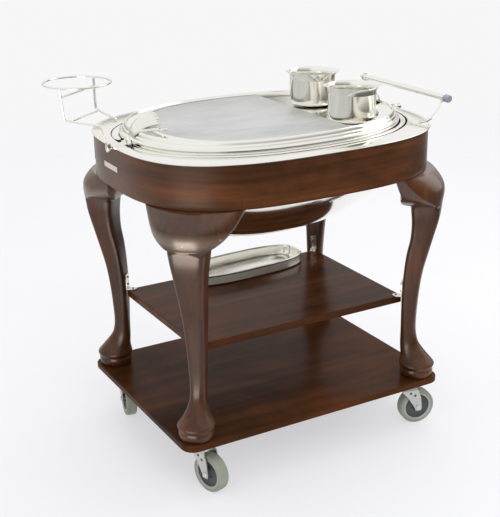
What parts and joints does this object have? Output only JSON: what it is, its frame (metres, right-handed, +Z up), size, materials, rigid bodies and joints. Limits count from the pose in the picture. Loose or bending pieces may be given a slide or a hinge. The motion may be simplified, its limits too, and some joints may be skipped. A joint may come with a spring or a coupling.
{
  "type": "carving trolley",
  "caption": "Carving trolley: oval wooden top on cabriole legs and swivel casters, with a roll-over dome, carving board over a water pan, sauce pots, shelves, tray and push bar.",
  "frame": {"origin": "middle of the bounding box on the floor", "axes": "+X towards the push bar, -Y the long side seen in the picture, +Z up"},
  "size_m": [0.9316, 0.7218, 0.9418],
  "materials": {
    "mahogany": "satin French polish",
    "mahogany_board": "satin lacquer",
    "silver_plate": "silver plate, mirror polished",
    "brushed_silver": "brushed",
    "zinc": "zinc plated",
    "tyre": "matt grey-green rubber",
    "hub": "matt",
    "label": "bare plate",
    "end_cap": "satin",
    "burner_brass": "polished"
  },
  "bodies": {
    "trolley": {"apron_back": "mahogany", "apron_front": "mahogany", "apron_left": "mahogany", "apron_right": "mahogany", "base_board": "mahogany_board", "burner_left": "burner_brass", "burner_rack": "zinc", "burner_right": "burner_brass", "caster_plate_back_left": "zinc", "caster_plate_back_right": "zinc", "caster_plate_front_left": "zinc", "caster_plate_front_right": "zinc", "handle_cap": "end_cap", "handle_finial": "silver_plate", "handle_strap_back": "silver_plate", "handle_strap_front": "silver_plate", "label_plate": "label", "leg_back_left": "mahogany", "leg_back_right": "mahogany", "leg_front_left": "mahogany", "leg_front_right": "mahogany", "middle_shelf": "mahogany_board", "pivot_lug": "silver_plate", "pivot_shaft_left": "silver_plate", "pivot_shaft_right": "silver_plate", "pivot_shell_left": "silver_plate", "pivot_shell_right": "silver_plate", "plate_ring": "silver_plate", "pot_deck": "silver_plate", "push_bar": "silver_plate", "ring_brace_lower": "silver_plate", "ring_brace_upper": "silver_plate", "ring_rod_far": "silver_plate", "ring_rod_near": "silver_plate", "ring_strip": "silver_plate", "shelf_bracket_back_left": "brushed_silver", "shelf_bracket_back_right": "brushed_silver", "shelf_bracket_front_left": "brushed_silver", "shelf_bracket_front_right": "brushed_silver", "top_plate_back": "silver_plate", "top_plate_front": "silver_plate", "water_pan": "silver_plate"},
    "dome": {"dome": "silver_plate"},
    "carving_board": {"carving_board": "brushed_silver"},
    "sauce_pot_front": {"sauce_pot_front": "silver_plate"},
    "sauce_pot_back": {"sauce_pot_back": "silver_plate"},
    "serving_tray": {"serving_tray": "silver_plate"},
    "caster_front_left": {"caster_fork_front_left": "zinc"},
    "wheel_front_left": {"caster_hub_front_left": "hub", "caster_tyre_front_left": "tyre"},
    "caster_front_right": {"caster_fork_front_right": "zinc"},
    "wheel_front_right": {"caster_hub_front_right": "hub", "caster_tyre_front_right": "tyre"},
    "caster_back_left": {"caster_fork_back_left": "zinc"},
    "wheel_back_left": {"caster_hub_back_left": "hub", "caster_tyre_back_left": "tyre"},
    "caster_back_right": {"caster_fork_back_right": "zinc"},
    "wheel_back_right": {"caster_hub_back_right": "hub", "caster_tyre_back_right": "tyre"}
  },
  "joints": [
    {"name": "dome_roll", "type": "hinge", "parent": "trolley", "child": "dome", "pos_m": [0.00555, -0.0254, 0.835], "axis": [1, 0, 0], "range_deg": [0, 180]},
    {"name": "carving_board_lift", "type": "slide", "parent": "trolley", "child": "carving_board", "axis": [0, 0, 1], "range_m": [0, 0.32]},
    {"name": "sauce_pot_front_lift", "type": "slide", "parent": "trolley", "child": "sauce_pot_front", "axis": [0, 0, 1], "range_m": [0, 0.32]},
    {"name": "sauce_pot_back_lift", "type": "slide", "parent": "trolley", "child": "sauce_pot_back", "axis": [0, 0, 1], "range_m": [0, 0.32]},
    {"name": "serving_tray_out", "type": "slide", "parent": "trolley", "child": "serving_tray", "axis": [0, -1, 0], "range_m": [0, 0.65]},
    {"name": "swivel_front_left", "type": "hinge", "parent": "trolley", "child": "caster_front_left", "pos_m": [-0.30995, -0.2624, 0.12], "axis": [0, 0, 1], "continuous": true},
    {"name": "wheel_front_left", "type": "hinge", "parent": "caster_front_left", "child": "wheel_front_left", "pos_m": [-0.30218, -0.29138, 0.05], "axis": [0.9659, 0.2588, 0], "continuous": true},
    {"name": "swivel_front_right", "type": "hinge", "parent": "trolley", "child": "caster_front_right", "pos_m": [0.32105, -0.2624, 0.12], "axis": [0, 0, 1], "continuous": true},
    {"name": "wheel_front_right", "type": "hinge", "parent": "caster_front_right", "child": "wheel_front_right", "pos_m": [0.35028, -0.26915, 0.05], "axis": [0.225, 0.9744, 0], "continuous": true},
    {"name": "swivel_back_left", "type": "hinge", "parent": "trolley", "child": "caster_back_left", "pos_m": [-0.30995, 0.2116, 0.12], "axis": [0, 0, 1], "continuous": true},
    {"name": "wheel_back_left", "type": "hinge", "parent": "caster_back_left", "child": "wheel_back_left", "pos_m": [-0.3167, 0.18237, 0.05], "axis": [0.9744, -0.225, 0], "continuous": true},
    {"name": "swivel_back_right", "type": "hinge", "parent": "trolley", "child": "caster_back_right", "pos_m": [0.32105, 0.2116, 0.12], "axis": [0, 0, 1], "continuous": true},
    {"name": "wheel_back_right", "type": "hinge", "parent": "caster_back_right", "child": "wheel_back_right", "pos_m": [0.34924, 0.22186, 0.05], "axis": [-0.342, 0.9397, 0], "continuous": true}
  ]
}
